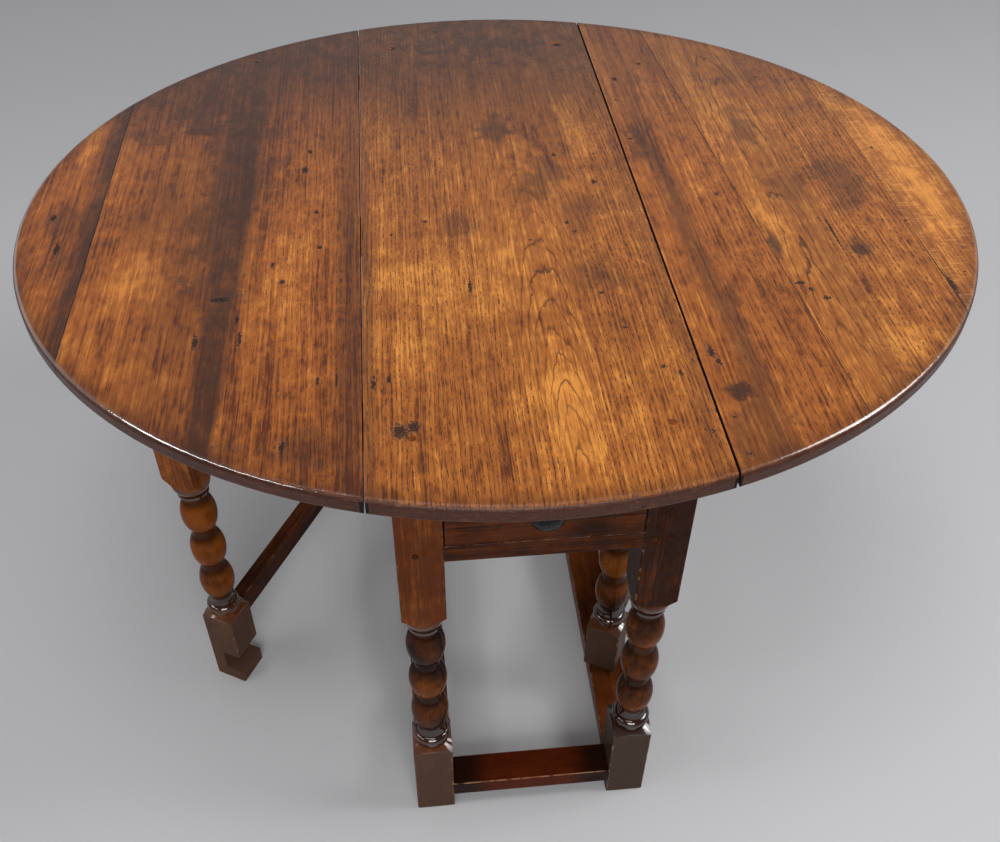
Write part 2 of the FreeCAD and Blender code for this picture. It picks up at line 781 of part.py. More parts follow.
def frame_pieces():
    """Legs, rails, stretchers, drawer runners and pegs, by node name."""
    pegs = frame_pegs()
    rails = {
        "side_rail_left": side_rail_left(),
        "side_rail_right": half_turn(side_rail_left()),
        "side_stretcher_left": side_stretcher_left(),
        "side_stretcher_right": half_turn(side_stretcher_left()),
        "end_stretcher_front": end_stretcher_front(),
        "end_stretcher_back": half_turn(end_stretcher_front()),
        "drawer_bearer_rail": drawer_bearer_rail(),
        "back_end_rail": back_end_rail(),
    }
    pieces = {}
    joinery = list(rails.values()) + pegs + top_pegs()
    for end, y in (("front", -leg_y), ("back", leg_y)):
        for side, x in (("left", -leg_x), ("right", leg_x)):
            leg = placed(turned_member(leg_stock, 0, underside), x, y)
            pieces["leg_" + end + "_" + side] = without(leg, joinery)
    right_nails = runner_nails_right()
    nails = right_nails + [mirrored(piece) for piece in right_nails]
    for name, rail in rails.items():
        pieces[name] = without(rail, pegs + nails)
    pieces["drawer_runner_right"] = without(drawer_runner_right(), right_nails)
    pieces["drawer_runner_left"] = mirrored(pieces["drawer_runner_right"])
    pieces["drawer_runner_nails"] = Part.makeCompound(nails)
    pieces["frame_pegs"] = Part.makeCompound(pegs)
    pieces["top_pegs"] = Part.makeCompound(top_pegs())
    return pieces


def hinge_pieces():
    """Hinge wings, pins and nails of both leaves, by node name."""
    groups = {
        "leaf_hinge_wings_right": leaf_wings,
        "leaf_hinge_nails_right": leaf_nails,
        "fixed_hinge_wings_right": fixed_wings,
        "fixed_hinge_nails_right": fixed_nails,
        "hinge_pins_right": hinge_pins,
    }
    pieces = {}
    for name, make_pieces in groups.items():
        nails = leaf_nails if name.startswith("leaf") else fixed_nails
        group = Part.makeCompound(right_hinge_set(make_pieces))
        if name.endswith("wings_right"):
            group = without(group, right_hinge_set(nails))
        pieces[name] = group
        pieces[name.replace("right", "left")] = half_turn(group)
    return pieces


def top_pieces(hinges):
    """Boards of the top and its leaves, with the nail and peg holes in them, by node name."""
    plate = oval_plate()
    left_edge = -centre_board_width / 2 - left_joint_gap
    right_edge = centre_board_width / 2 + right_joint_gap
    outer_joint = top_length / 2 - outer_board_width
    centre = plate.common(joint_strip(-centre_board_width / 2, centre_board_width / 2))
    right_leaf = plate.common(joint_strip(right_edge, top_length)).cut(hinges["leaf_hinge_nails_right"])
    left_leaf = plate.common(joint_strip(-top_length, left_edge)).cut(hinges["leaf_hinge_nails_left"])
    tapered_joint = (right_edge + tapered_board_width, tapered_board_slope)
    right_boards = split_boards(right_leaf, [tapered_joint, (outer_joint, 0)])
    left_boards = split_boards(left_leaf, [(-outer_joint, 0)])
    fixed_nail_groups = [hinges["fixed_hinge_nails_left"], hinges["fixed_hinge_nails_right"]]
    return {
        "centre_board": without(centre, top_pegs() + fixed_nail_groups),
        "left_leaf_outer_board": left_boards[0],
        "left_leaf_inner_board": left_boards[1],
        "right_leaf_inner_board": right_boards[0],
        "right_leaf_middle_board": right_boards[1],
        "right_leaf_outer_board": right_boards[2],
    }


def gate_pieces():
    """Both gates, swung out, by node name."""
    pieces = {}
    for name, closed in closed_left_gate().items():
        pieces["left_" + name] = swung_out(closed)
        pieces["right_" + name] = half_turn(swung_out(closed))
    return pieces


def drawer_pieces():
    """Drawer boards, knob and nails, by node name."""
    nails = drawer_nails()
    knob = drawer_knob()
    return {
        "drawer_front": without(drawer_front(), nails + [knob]),
        "drawer_side_right": without(drawer_side_right(), nails),
        "drawer_side_left": without(mirrored(drawer_side_right()), nails),
        "drawer_back": without(drawer_back(), nails),
        "drawer_bottom": without(drawer_bottom(), nails),
        "drawer_knob": knob,
        "drawer_nails": Part.makeCompound(nails),
    }


def main():
    """Build every piece and write each one to its own file."""
    os.makedirs("parts", exist_ok=True)
    hinges = hinge_pieces()
    for pieces in (frame_pieces(), hinges, top_pieces(hinges), gate_pieces(), drawer_pieces()):
        for name, shape in pieces.items():
            shape.exportStep(os.path.join("parts", name + ".step"))


main()
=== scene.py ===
import bpy
import math
from mathutils import Matrix, Vector


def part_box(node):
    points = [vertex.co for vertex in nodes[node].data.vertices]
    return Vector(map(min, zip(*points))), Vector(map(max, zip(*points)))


# Old oak gateleg table: polished top boards, dark turned frame, iron hinges and one drawer.
# Metres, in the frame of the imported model. Grain runs along Y on the top and along Z on the legs.

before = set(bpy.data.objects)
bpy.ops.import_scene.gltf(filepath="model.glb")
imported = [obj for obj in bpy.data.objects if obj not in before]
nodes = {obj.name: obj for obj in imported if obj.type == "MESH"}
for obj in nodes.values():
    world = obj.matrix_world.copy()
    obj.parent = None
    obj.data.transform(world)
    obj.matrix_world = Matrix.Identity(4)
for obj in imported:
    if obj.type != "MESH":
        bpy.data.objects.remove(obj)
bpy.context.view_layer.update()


def paint(red, green, blue):
    """Linear colour from the 0 to 255 values of a colour chart, by the usual screen curve."""
    def linear(level):
        share = level / 255
        return share / 12.92 if share <= 0.04045 else ((share + 0.055) / 1.055) ** 2.4
    return linear(red), linear(green), linear(blue), 1.0


# Camera, as the picture was taken
picture_width = 1000
focal_pixels = 1078.14
sensor_width = 36.0
camera_place = Vector((-0.135, -1.292, 1.509))
camera_pitch = math.radians(43.344)
camera_yaw = math.radians(6.141)
camera_roll = math.radians(-0.603)

# Studio: floor, dim room, and lamps that point at a height over the table's middle
floor_size = 40.0
floor_roughness = 0.9
floor_grey = paint(178, 178, 180)
floor_pale = paint(184, 184, 186)
floor_clouds = dict(scale=0.8, detail=2.0)
room_dark = paint(92, 92, 94)
room_pale = paint(210, 210, 213)
room_back = (-0.5, 0.8)
room_low = (1.0, 0.2)
lamps = {
    "right_soft_box": dict(place=(3.6, -0.3, 3.5), aim=0.5, width=2.0, height=2.0, power=98.0),
    "overhead_box": dict(place=(-0.3, -0.6, 6.0), aim=0.5, width=2.6, height=2.6, power=94.0),
    "front_soft_box": dict(place=(-0.1, -3.9, 2.7), aim=0.4, width=2.4, height=2.0, power=120.0),
    "left_strip": dict(place=(-3.3, -1.4, 2.9), aim=0.6, width=3.0, height=0.25, power=24.0),
    "front_spark": dict(place=(-0.6, -3.6, 3.2), aim=0.4, width=0.25, height=0.25, power=3.0),
    "left_spark": dict(place=(-3.4, -0.7, 2.7), aim=0.5, width=0.8, height=0.8, power=9.0),
    "right_spark": dict(place=(3.3, -0.6, 2.9), aim=0.5, width=0.5, height=0.5, power=10.0),
}

# Places on the table, as its solids are cut; the tapered joint has its x at the middle and its slant
top_half_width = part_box("centre_board")[1].y
top_half_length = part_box("right_leaf_outer_board")[1].x
leaf_joint = 0.192
tapered_joint = (0.32675, -0.0625)
foot_block_top = 0.158
ring_top = 0.192
cup_rim = 0.417
head_block_start = 0.452
leg_half = 0.027
gate_half = 0.02575
gate_open_angle = math.radians(28.5)

# Colour sockets of a mix node, and the middle of a noise that runs from 0 to 1
mix_share = 0
mix_first = 6
mix_second = 7
mix_result = 2
noise_middle = 0.5

# The floor's middle, and turns that bring a member's grain to Y
origin = (0.0, 0.0, 0.0)
unturned = (0.0, 0.0, 0.0)
upright = (math.pi / 2, 0.0, 0.0)
across = (0.0, 0.0, math.pi / 2)
gate_turn = (0.0, 0.0, -gate_open_angle)

# Below, unless a comment says otherwise, a pair is the start and end of a smooth step.
# Two more values are the step's low and high.

# Oak figure: noises by their stretch per metre, rises and falls by the share of one ring
slow_bend = dict(stretch=(5.0, 1.1, 5.0), detail=1.0)
quick_bend = dict(stretch=(40.0, 9.0, 40.0), detail=3.0, roughness=0.6)
torn_lines = dict(stretch=(160.0, 60.0, 160.0), detail=3.0, roughness=0.7)
broad_fibres = dict(stretch=(260.0, 5.0, 260.0), detail=2.0)
fine_fibres = dict(stretch=(900.0, 26.0, 900.0), detail=2.0, roughness=0.6)
ripple_rings = 2.2
row_rise = (0.0, 0.07)
row_fall = (0.38, 0.10)
row_seed = 3.7
row_breaks_stretch = 105.0
row_breaks = (0.42, 0.60)
crown_flat = (0.92, 0.55)
crown_fade = 0.12
crown_rise = (0.0, 0.04)
crown_fall = (0.24, 0.05)
crown_seed = 5.3
crown_worth = (0.38, 0.58, 0.50, 1.0)
crown_torn = (0.26, 0.44)
crown_row_loss = -0.85
crown_pore_loss = -0.6
ring_tone_stretch = 0.6
ring_tone_noise = dict(scale=1.7, detail=1.0)
fibre_sway = 0.35
fibre_share = 0.5
pore_cells = (560.0, 105.0, 560.0)
pore_reach = 0.16
pore_row_reach = 0.30
pore_core = 0.4
no_crown = -9.0

# Scattered specks and rubbed arrises
speck_noise = dict(scale=420.0, detail=2.0)
speck_rarity = 9.0
speck_ragged = 3.2
speck_least = -0.7
speck_core = 0.5
arris_noise = dict(scale=90.0, detail=6.0, roughness=0.75)
arris_start = 0.70
arris_blur = 0.10
arris_turn = (0.985, 0.90)

# Top boards: colours, noises and marks
top_colours = {
    "light": paint(206, 134, 58),
    "middle": paint(150, 86, 34),
    "dark": paint(88, 44, 21),
    "warm": paint(226, 176, 160),
    "pore": paint(42, 20, 11),
    "stain": paint(58, 36, 27),
    "edge": paint(48, 20, 11),
    "scuffed": paint(92, 48, 28),
    "bare light": paint(118, 86, 58),
    "bare dark": paint(88, 62, 42),
    "mark": paint(24, 15, 11),
    "fleck": paint(226, 158, 90),
    # Near-black painted shade on the seam walls by the leaf joints
    "grime and seam shade": paint(16, 9, 6),
}
top_noises = {
    "clouds": dict(stretch=(9.0, 4.5, 9.0), detail=4.0, roughness=0.6),
    "blotches": dict(stretch=(42.0, 26.0, 42.0), detail=4.0, roughness=0.65),
    "mottle": dict(stretch=(150.0, 60.0, 150.0), detail=3.0, roughness=0.6),
    "ragged": dict(scale=330.0, detail=3.0, roughness=0.6),
    "drift": dict(scale=18.0, detail=6.0, roughness=0.70),
    "sway": dict(stretch=(14.0, 7.0, 14.0), detail=5.0),
    "rays": dict(stretch=(55.0, 330.0, 55.0), detail=2.0, distortion=0.6),
    "scuff": dict(stretch=(60.0, 60.0, 420.0), detail=4.0, roughness=0.7),
}
top_swings = {"ragged": 2.6, "drift": 3.0, "sway": 0.03}
top_tone_shares = {"fibres": 2.0, "ring tone": 0.5, "clouds": 0.8, "blotches": 0.9, "mottle": 0.7}
glow_tone = 0.42
crown_tone = 0.10
dark_to_middle = (0.0, 0.5)
middle_to_light = (0.45, 1.10)
quiet_softness = 0.6
quiet_loss = -0.75
glow_softness = 0.95
stain_softness = 0.75
stain_cover = 0.92
stain_least = 0.15
stain_blotch = 1.6
back_dark_reach = (0.02, 0.45)
ring_cover = 0.74
pore_cover = 0.88
ray_width = (0.56, 0.64)
speck_spacing = 0.03
speck_size = 0.006
mark_softness = 0.5
mark_cover = 0.90
crack_length = 0.22
line_core = 0.4

# Rim, seams and underside of the top, by how far a face looks up: 1 on the top, 0 on the rim's side
border_reach = (0.945, 1.0, 0.0, 0.45)
border_waver = 0.03
rim_facing = (0.92, 0.55)
arris_facing = (0.99, 0.94)
polish_facing = (0.45, 0.75)
under_facing = (-0.55, -0.85)
# Seam walls by the leaf joints, where shade is painted
seam_facing = (0.5, 0.3)
seam_reach = (0.005, 0.004)
scuff_cover = (0.48, 0.75)
rim_cover = 0.9
bare_fibres = (0.35, 0.65)
bare_rings = 0.4

# Wax of the top: roughness and what changes it, and the hard polish of the leaves' arrises
top_roughness = 0.24
top_roughness_changes = {
    "blotches": 0.20, "pores": 0.15, "marks": 0.25, "rubbed": -0.12, "rim": 0.12, "seam shade": 0.9,
}
under_roughness = 0.5
top_specular = 0.29
top_coat_roughness = 0.09
top_coat_ior = 2.5
left_rubbed = (-0.19, -0.26)
right_rubbed = (0.15, 0.30, 0.0, 0.40)
top_heights = {"pores": -0.6, "marks": -2.4, "rings": -0.5, "blotches": 1.6}
top_fibre_height = 0.5
top_bump_strength = 0.6
oak_bump_depth = 0.0006

# Where each top board was cut from its log, and what marks it. The heart is the log's middle, at x and z.
# A band has its middle, slant, half width, softness, strength and taper.
# A spot of glow, stain or quiet grain has x, y, half width, half length and strength.
# A mark has the same without a strength.
# A joint has x, slant, half width, the y where a crack starts, and the crack's half width.
boards = {
    "centre_board": dict(
        heart=(0.036, 0.658), lean=0.085, spacing=0.0050, wander=0.030, crown=0.16, back_dark=0.85,
        warmth=0.0, lightness=0.44, open_grain=1.0, flecks=0.0,
        bands=[(0.180, 0.0, 0.022, 1.0, 0.30, 0.0), (-0.184, 0.0, 0.012, 1.0, 0.5, 0.0)],
        glow=[(-0.10, -0.20, 0.12, 0.14, 0.7), (0.03, -0.46, 0.07, 0.14, 0.7),
              (0.13, 0.18, 0.03, 0.18, 0.7), (-0.14, -0.32, 0.05, 0.12, 0.6)],
        stains=[(0.063, 0.020, 0.050, 0.080, 0.6), (0.110, -0.046, 0.050, 0.060, 0.4),
                (0.150, 0.384, 0.08, 0.10, 0.8), (0.015, 0.176, 0.060, 0.070, 0.8),
                (-0.066, -0.070, 0.030, 0.040, 0.6), (0.10, -0.20, 0.05, 0.06, 0.4),
                (0.0, 0.50, 0.24, 0.20, 1.0), (-0.10, 0.30, 0.12, 0.10, 0.6)],
        quiet=[],
        joints=[],
        marks=[
            (-0.152, -0.462, 0.011, 0.014), (-0.138, -0.456, 0.008, 0.011), (-0.179, -0.372, 0.002, 0.004),
            (-0.179, -0.384, 0.003, 0.009), (-0.162, -0.377, 0.003, 0.007), (-0.058, -0.212, 0.003, 0.018),
            (-0.106, -0.061, 0.004, 0.005), (0.082, -0.080, 0.004, 0.005), (0.102, -0.238, 0.005, 0.004),
            (0.089, 0.099, 0.004, 0.006), (0.135, 0.020, 0.004, 0.006), (0.166, -0.395, 0.003, 0.007),
            (-0.137, 0.473, 0.010, 0.007), (0.144, 0.465, 0.010, 0.007),
        ],
    ),
    "left_leaf_inner_board": dict(
        heart=(-0.455, 0.600), lean=0.03, spacing=0.0050, wander=0.03, crown=no_crown, back_dark=0.9,
        warmth=0.2, lightness=0.37, open_grain=0.8, flecks=0.0,
        bands=[(-0.362, 0.0, 0.042, 0.60, 0.95, 1.2), (-0.41, 0.0, 0.11, 1.0, 0.36, 0.4),
               (-0.205, 0.0, 0.028, 1.0, 0.6, 0.0)],
        glow=[(-0.275, -0.18, 0.05, 0.24, 0.8), (-0.47, -0.16, 0.06, 0.16, 0.6),
              (-0.44, -0.36, 0.08, 0.07, 0.5)],
        stains=[(-0.43, 0.30, 0.14, 0.18, 0.9), (-0.30, 0.46, 0.16, 0.10, 0.8),
                (-0.25, -0.49, 0.05, 0.05, 0.5), (-0.370, 0.20, 0.075, 0.50, 0.8),
                (-0.380, -0.05, 0.065, 0.30, 0.8), (-0.36, -0.47, 0.08, 0.05, 0.7),
                (-0.46, -0.02, 0.05, 0.10, 0.4), (-0.36, -0.30, 0.03, 0.07, 0.8)],
        quiet=[(-0.46, 0.0, 0.13, 0.80, 1.0)],
        joints=[(-0.538, 0.0, 0.0006, 9.0, 0.0006)],
        marks=[
            (-0.384, -0.292, 0.004, 0.016), (-0.220, -0.375, 0.002, 0.014), (-0.241, -0.372, 0.002, 0.010),
            (-0.276, -0.475, 0.004, 0.012), (-0.333, -0.290, 0.003, 0.018), (-0.363, -0.211, 0.014, 0.006),
            (-0.269, 0.087, 0.006, 0.010), (-0.263, 0.137, 0.004, 0.008), (-0.250, -0.025, 0.004, 0.006),
            (-0.303, -0.143, 0.003, 0.007), (-0.289, -0.181, 0.005, 0.005), (-0.244, -0.109, 0.004, 0.005),
            (-0.339, -0.253, 0.003, 0.012),
        ],
    ),
    "left_leaf_outer_board": dict(
        heart=(-0.700, 0.640), lean=-0.02, spacing=0.0050, wander=0.02, crown=no_crown, back_dark=0.4,
        warmth=0.3, lightness=0.42, open_grain=0.35, flecks=0.0,
        bands=[(-0.540, 0.0, 0.036, 1.0, 1.0, 0.0)],
        glow=[(-0.58, 0.20, 0.03, 0.10, 0.8), (-0.62, 0.02, 0.02, 0.10, 0.4)],
        stains=[(-0.585, -0.02, 0.03, 0.05, 0.5), (-0.57, -0.12, 0.03, 0.06, 0.5)],
        quiet=[],
        joints=[(-0.538, 0.0, 0.0014, 9.0, 0.0014)],
        marks=[(-0.598, -0.010, 0.005, 0.010), (-0.580, -0.085, 0.004, 0.014)],
    ),
    "right_leaf_inner_board": dict(
        heart=(0.120, 0.585), lean=0.02, spacing=0.0056, wander=0.025, crown=no_crown, back_dark=0.45,
        warmth=0.15, lightness=0.42, open_grain=0.9, flecks=0.0,
        bands=[(0.236, -0.03, 0.024, 1.0, 0.6, 0.0)],
        glow=[(0.28, 0.02, 0.02, 0.10, 0.5)],
        stains=[(0.225, 0.14, 0.03, 0.10, 0.8), (0.235, 0.32, 0.05, 0.10, 0.6),
                (0.252, -0.30, 0.02, 0.12, 0.6), (0.223, -0.436, 0.024, 0.026, 1.0),
                (0.235, -0.49, 0.05, 0.10, 0.6)],
        quiet=[],
        joints=[(*tapered_joint, 0.0007, 9.0, 0.0007)],
        marks=[(0.209, -0.362, 0.005, 0.012), (0.214, -0.380, 0.004, 0.008), (0.220, 0.330, 0.005, 0.008)],
    ),
    "right_leaf_middle_board": dict(
        heart=(0.378, 0.676), lean=0.045, spacing=0.0060, wander=0.040, crown=0.60, back_dark=0.4,
        warmth=0.0, lightness=0.50, open_grain=1.0, flecks=0.0,
        bands=[(0.40, -0.02, 0.05, 1.0, 0.25, 0.0)],
        glow=[(0.45, -0.36, 0.07, 0.10, 0.9), (0.36, -0.10, 0.015, 0.08, 0.6)],
        stains=[(0.403, -0.015, 0.05, 0.07, 0.5), (0.480, 0.000, 0.05, 0.10, 0.6),
                (0.383, 0.163, 0.03, 0.10, 0.6), (0.454, -0.177, 0.020, 0.028, 1.0),
                (0.42, 0.34, 0.10, 0.10, 0.6), (0.345, -0.156, 0.010, 0.035, 0.8)],
        quiet=[],
        joints=[(*tapered_joint, 0.0009, 9.0, 0.0009), (0.538, 0.0, 0.0005, -0.08, 0.0016)],
        marks=[(0.352, -0.240, 0.009, 0.004), (0.362, -0.254, 0.004, 0.006), (0.376, -0.273, 0.006, 0.005),
               (0.430, -0.130, 0.002, 0.05)],
    ),
    "right_leaf_outer_board": dict(
        heart=(0.720, 0.560), lean=0.0, spacing=0.0058, wander=0.02, crown=no_crown, back_dark=0.2,
        warmth=0.0, lightness=0.66, open_grain=0.7, flecks=0.28,
        bands=[(0.545, 0.0, 0.010, 1.0, 0.2, 0.0)],
        glow=[(0.585, 0.0, 0.04, 0.20, 0.7)],
        stains=[(0.56, 0.24, 0.02, 0.04, 0.5)],
        quiet=[],
        joints=[(0.538, 0.0, 0.0005, -0.08, 0.0016)],
        marks=[(0.541, -0.260, 0.004, 0.030), (0.560, 0.080, 0.003, 0.004)],
    ),
}

# Frame: colours, noises and figure
frame_colours = {
    "deep": paint(40, 19, 10),
    "brown": paint(84, 41, 16),
    "light": paint(142, 82, 38),
    "ball deep": paint(30, 11, 4),
    "ball": paint(122, 63, 13),
    # Near-black painted shade towards the legs' necks; the end stretchers' dark ends use it too
    "hollow": paint(22, 12, 8),
    "red": paint(76, 22, 6),
    "pore": paint(20, 10, 7),
    "rubbed": paint(168, 122, 82),
    "grime and seam shade": paint(69, 56, 48),
}
frame_clouds = dict(scale=13.0, detail=4.0, roughness=0.6)
frame_smears = dict(scale=48.0, detail=5.0, roughness=0.65)
frame_cut = dict(heart_across=0.045, heart_depth=-0.035, lean=0.05, ring_spacing=0.0048, wander=0.05,
                 crown_end=no_crown)
frame_tone_shares = {"fibres": 1.3, "ring tone": 0.5, "clouds": 1.2, "smears": 0.5}
deep_to_brown = (0.0, 0.60)
brown_to_light = (0.55, 1.25)
frame_ring_cover = 0.35
frame_pore_cover = 0.45
dark_end_waver = 0.06
dark_end_cover = 0.9

# Polish of the frame
smear_roughness = 0.22
pore_roughness = 0.12
worn_roughness = 0.2
frame_specular = 0.03
frame_coat = (0.62, 0.40, 0.0, 0.05)
frame_coat_roughness = 0.08
frame_coat_ior = 2.0
frame_heights = {"pores": -0.6, "rings": -0.4, "smears": 1.0}
frame_fibre_height = 0.4
frame_bump_strength = 0.40

# Turned part of a leg: heights where balls, rings and cup come in and go out, and their finish
turned_rise = (foot_block_top, foot_block_top + 0.006)
turned_fall = (head_block_start, head_block_start - 0.004)
ring_rise = (foot_block_top - 0.010, foot_block_top)
ring_fall = (ring_top + 0.004, ring_top)
cup_rise = (cup_rim - 0.004, cup_rim)
cup_fall = (head_block_start, cup_rim + 0.016)
ball_clouds = 1.7
ball_fibres = 0.5
ball_deep_to_warm = (0.15, 0.95)
# Painted shade towards the necks, by the distance from the leg's axis
neck_shade = (0.0238, 0.0172, 0.0, 0.75)
ring_shade = 0.7
ball_coat = 0.06
ring_coat = 0.6
turned_roughness = -0.18
ring_roughness = -0.10

# Dust and chips of a leg
dust_height = (foot_block_top + 0.002, foot_block_top - 0.010)
dust_least = 0.35
dust_smears = 0.9
dust_cover = 0.9
chip_noise = dict(scale=130.0, detail=6.0, roughness=0.75)
chip_break = (0.53, 0.60)
corner_start = 0.0030
corner_end = 0.0012
foot_edge = (0.006, 0.002)
foot_chips = (foot_block_top - 0.004, foot_block_top - 0.010)
head_chips = (head_block_start, head_block_start + 0.020, 0.0, 0.5)

# Finish of each member: tone and ball warmth of a leg, and what is special to the others
leg_tones = {"leg_front_left": (0.54, 0.40), "leg_front_right": (0.04, 0.38), "left_gate_leg": (0.72, 0.78)}
usual_leg_tone = (0.45, 0.50)
gate_rail_finish = dict(tone=0.2, rubbed=0.3)
side_finish = dict(tone=0.48, dull=0.3)
end_stretcher_finish = dict(tone=0.2, red=0.6, dull=0.28, dark_ends=(0.055, 0.095), rubbed=0.5, cover=0.28)
end_rail_finish = dict(tone=0.24, rubbed=0.2)
peg_finish = dict(tone=0.2, rubbed=0.0)
top_peg_finish = dict(tone=0.95, dull=0.5, rubbed=0.0)

# Iron, knob and bare oak
iron_black = paint(48, 44, 42)
iron_rust = paint(86, 52, 36)
rust_noise = dict(scale=160.0, detail=5.0, roughness=0.7)
pit_noise = dict(scale=420.0, detail=3.0)
rust_colour = (0.5, 0.75)
rust_metal = (0.7, 0.45, 0.15, 0.85)
iron_roughness = 0.35
rust_roughness = 0.4
iron_bump_strength = 0.6
iron_bump_depth = 0.0006
knob_black = paint(14, 14, 15)
knob_grey = paint(34, 32, 32)
knob_clouds = dict(scale=90.0, detail=4.0)
knob_dust = (0.35, 0.75)
knob_roughness = 0.16
knob_dust_roughness = 0.2
knob_specular = 0.15
knob_bump_strength = 0.2
knob_bump_depth = 0.0004
bare_oak_dark = paint(112, 78, 50)
bare_oak_light = paint(172, 132, 90)
bare_oak_pore = paint(66, 42, 26)
bare_oak_cut = dict(heart_across=0.25, heart_depth=0.1, lean=0.02, ring_spacing=0.005, wander=0.03,
                    crown_end=no_crown)
bare_oak_clouds = dict(scale=14.0, detail=4.0)
bare_oak_fibres = 0.7
bare_oak_dirt = 0.5
bare_oak_range = (0.35, 0.85)
bare_oak_pore_cover = 0.55
bare_oak_roughness = 0.6
bare_oak_dirt_roughness = 0.2
bare_oak_bump_strength = 0.5
bare_oak_bump_depth = 0.0005


class Wiring:
    """Nodes of one material or one node group, added and joined in order."""

    def __init__(self, tree):
        self.tree = tree

    def add(self, kind, **settings):
        """New node with its settings."""
        node = self.tree.nodes.new(kind)
        for name, value in settings.items():
            setattr(node, name, value)
        return node

    def feed(self, socket, value):
        """Joins an output to an input, or sets the input's own value."""
        if isinstance(value, bpy.types.NodeSocket):
            self.tree.links.new(value, socket)
        else:
            socket.default_value = value

    def math(self, operation, *values, clamp=False):
        """Sum of one kind on one, two or three values."""
        node = self.add("ShaderNodeMath", operation=operation, use_clamp=clamp)
        for socket, value in zip(node.inputs, values):
            self.feed(socket, value)
        return node.outputs[0]

    def times(self, first, second):
        """Product of two values."""
        return self.math("MULTIPLY", first, second)

    def raised(self, value, share, strength, clamp=False):
        """Value plus a share at a strength."""
        return self.math("MULTIPLY_ADD", share, strength, value, clamp=clamp)

    def shifted(self, value, share, strength):
        """Value moved up or down as a noise leaves its middle."""
        return self.raised(value, self.math("SUBTRACT", share, noise_middle), strength)

    def diagonal(self, first, second):
        """Length of the diagonal over two sides."""
        return self.math("SQRT", self.raised(self.times(first, first), second, second))

    def vector(self, operation, *values):
        """Vector sum of one kind."""
        node = self.add("ShaderNodeVectorMath", operation=operation)
        for socket, value in zip(node.inputs, values):
            self.feed(socket, value)
        return node.outputs["Vector"]

    def split(self, vector):
        """The three parts of a vector."""
        node = self.add("ShaderNodeSeparateXYZ")
        self.feed(node.inputs[0], vector)
        return node.outputs

    def combine(self, x, y, z):
        """Vector from three parts."""
        node = self.add("ShaderNodeCombineXYZ")
        for socket, value in zip(node.inputs, (x, y, z)):
            self.feed(socket, value)
        return node.outputs[0]

    def noise(self, vector, stretch=None, scale=1.0, detail=2.0, roughness=0.5, distortion=0.0):
        """Cloudy noise from 0 to 1, with its own stretch along X, Y and Z."""
        if stretch:
            vector = self.vector("MULTIPLY", vector, stretch)
        node = self.add("ShaderNodeTexNoise")
        for name, value in (("Vector", vector), ("Scale", scale), ("Detail", detail),
                            ("Roughness", roughness), ("Distortion", distortion)):
            self.feed(node.inputs[name], value)
        return node.outputs[0]

    def cells(self, vector):
        """Scattered cells: the distance to the nearest middle, and a chance colour for each."""
        node = self.add("ShaderNodeTexVoronoi")
        self.feed(node.inputs["Vector"], vector)
        self.feed(node.inputs["Scale"], 1.0)
        return node.outputs["Distance"], node.outputs["Color"]

    def ease(self, value, start, end, low=0.0, high=1.0):
        """Smooth step of a value, from low at start to high at end."""
        node = self.add("ShaderNodeMapRange", interpolation_type="SMOOTHSTEP")
        for socket, given in zip(node.inputs, (value, start, end, low, high)):
            self.feed(socket, given)
        return node.outputs[0]

    def within(self, value, rise, fall):
        """Mask of a range, which comes in over a rise and goes out over a fall."""
        return self.times(self.ease(value, *rise), self.ease(value, *fall))

    def tint(self, share, first, second, blend="MIX"):
        """Colour between two colours."""
        node = self.add("ShaderNodeMix", data_type="RGBA", blend_type=blend)
        self.feed(node.inputs[mix_share], share)
        self.feed(node.inputs[mix_first], first)
        self.feed(node.inputs[mix_second], second)
        return node.outputs[mix_result]

    def stain(self, wood, colour, mask, cover):
        """Wood with a colour over it where a mask is, at a cover."""
        return self.tint(self.times(mask, cover), wood, colour)

    def largest(self, values):
        """Largest of several masks."""
        result = values[0]
        for value in values[1:]:
            result = self.math("MAXIMUM", result, value)
        return result

    def use(self, group, **values):
        """Places a node group with its own values, whose names have spaces for underscores."""
        node = self.add("ShaderNodeGroup", node_tree=group)
        for name, value in values.items():
            self.feed(node.inputs[name.replace("_", " ").title()], value)
        return node.outputs


def new_group(name, vectors, values, outputs):
    """Empty node group with named vector and value inputs, and its input and output nodes."""
    group = bpy.data.node_groups.new(name, "ShaderNodeTree")
    for title in vectors:
        group.interface.new_socket(title, in_out="INPUT", socket_type="NodeSocketVector")
    for title in values:
        group.interface.new_socket(title, in_out="INPUT", socket_type="NodeSocketFloat")
    for title in outputs:
        group.interface.new_socket(title, in_out="OUTPUT", socket_type="NodeSocketFloat")
    w = Wiring(group)
    given = w.add("NodeGroupInput").outputs
    result = w.add("NodeGroupOutput").inputs
    return group, w, given, result


